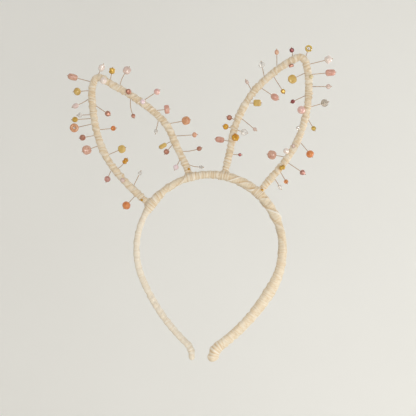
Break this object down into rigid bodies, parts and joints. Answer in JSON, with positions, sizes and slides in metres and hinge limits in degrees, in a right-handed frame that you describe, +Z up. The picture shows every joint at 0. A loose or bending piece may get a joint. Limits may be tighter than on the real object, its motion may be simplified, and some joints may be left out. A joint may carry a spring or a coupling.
{
  "type": "animal ears headband",
  "caption": "Wound fabric hair band with two tall bendable wire ears, set round with small glass and pearl beads on fine twisted wire stems.",
  "frame": {"origin": "centre of the band's inner face at its crown, where it sits on the head", "axes": "+Z up from the crown towards the ears, +X to the right as the front is seen, -Y to the front"},
  "size_m": [0.2152, 0.0144, 0.2586],
  "materials": {
    "cream_strip": "cream cotton strip wound in overlapping turns, soft matt, with creases along the winding",
    "core": "plain moulded hair band, hidden",
    "ear_wire": "plain annealed wire, hidden",
    "bead_wire": "fine copper-coloured wire, twisted in pairs",
    "bead_amber": "polished translucent glass",
    "bead_blush": "satin opaque glass",
    "bead_clear": "polished clear glass",
    "bead_coral": "polished opaque glass",
    "bead_garnet": "polished glass",
    "bead_gold": "gold-lined glass",
    "bead_mauve": "polished glass",
    "bead_mustard": "polished opaque glass",
    "bead_olive": "polished glass",
    "bead_orange": "polished translucent glass",
    "bead_peach": "polished glass",
    "bead_pearl": "nacre lustre",
    "bead_pink": "polished translucent glass",
    "bead_rose": "polished glass",
    "bead_salmon": "polished opaque glass",
    "bead_smoke": "polished clear glass",
    "bead_yellow": "polished translucent glass"
  },
  "bodies": {
    "crown": {"band_core_crown": "core", "band_wrap_crown": "cream_strip", "foot_wire_left_outer": "ear_wire", "foot_wire_left_inner": "ear_wire", "foot_wire_right_inner": "ear_wire", "foot_wire_right_outer": "ear_wire", "foot_binding_left_outer": "cream_strip", "foot_binding_left_inner": "cream_strip", "foot_binding_right_inner": "cream_strip", "foot_binding_right_outer": "cream_strip"},
    "left_limb": {"band_core_left": "core", "band_wrap_left": "cream_strip"},
    "right_limb": {"band_core_right": "core", "band_wrap_right": "cream_strip"},
    "left_ear": {"ear_wire_left": "ear_wire", "ear_wrap_left": "cream_strip", "bead_wire_left": "bead_wire", "bead_left_salmon_barrel": "bead_salmon", "bead_left_gold_nugget": "bead_gold", "bead_left_blush_disc": "bead_blush", "bead_left_gold_ball": "bead_gold", "bead_left_mauve_oval": "bead_mauve", "bead_left_garnet_upper": "bead_garnet", "bead_left_gold_side": "bead_gold", "bead_left_orange_ring": "bead_orange", "bead_left_garnet_side": "bead_garnet", "bead_left_salmon_flat": "bead_salmon", "bead_left_orange_inner": "bead_orange", "bead_left_mustard_disc": "bead_mustard", "bead_left_amber_lobes": "bead_amber", "bead_left_pink_glass": "bead_pink", "bead_left_orange_foot": "bead_orange", "bead_left_pink_pearl": "bead_pink", "bead_left_coral_tube": "bead_coral", "bead_left_orange_flat": "bead_orange", "bead_left_peach_ball": "bead_peach", "bead_left_rose_ball": "bead_rose"},
    "right_ear": {"ear_wire_right": "ear_wire", "ear_wrap_right": "cream_strip", "bead_wire_right": "bead_wire", "bead_right_clear_ball": "bead_clear", "bead_right_peach_oval": "bead_peach", "bead_right_yellow_ring": "bead_yellow", "bead_right_pearl_ball": "bead_pearl", "bead_right_coral_barrel": "bead_coral", "bead_right_blush_ball": "bead_blush", "bead_right_smoke_ball": "bead_smoke", "bead_right_olive_ball": "bead_olive", "bead_right_orange_ball": "bead_orange", "bead_right_rose_drop": "bead_rose", "bead_right_pink_flat": "bead_pink", "bead_right_mustard_disc": "bead_mustard", "bead_right_gold_ball": "bead_gold", "bead_right_coral_oval": "bead_coral", "bead_right_garnet_ball": "bead_garnet", "bead_right_mustard_cube": "bead_mustard", "bead_right_garnet_near": "bead_garnet", "bead_right_amber_ball": "bead_amber", "bead_right_coral_foot": "bead_coral", "bead_right_clear_inner": "bead_clear"}
  },
  "joints": [
    {"name": "left_limb_flex", "type": "hinge", "parent": "crown", "child": "left_limb", "pos_m": [-0.05496, 0, -0.03005], "axis": [0, 1, 0], "range_deg": [0, 25], "stiffness_Nm_per_rad": 0.45},
    {"name": "right_limb_flex", "type": "hinge", "parent": "crown", "child": "right_limb", "pos_m": [0.05496, 0, -0.03005], "axis": [0, -1, 0], "range_deg": [0, 25], "stiffness_Nm_per_rad": 0.45},
    {"name": "left_ear_tilt", "type": "hinge", "parent": "crown", "child": "left_ear", "pos_m": [-0.03921, 0, -0.00658], "axis": [0.7777, 0, 0.6286], "range_deg": [-40, 40]},
    {"name": "right_ear_tilt", "type": "hinge", "parent": "crown", "child": "right_ear", "pos_m": [0.02498, 0, 0.0035], "axis": [0.9194, 0, -0.3934], "range_deg": [-40, 40]}
  ]
}
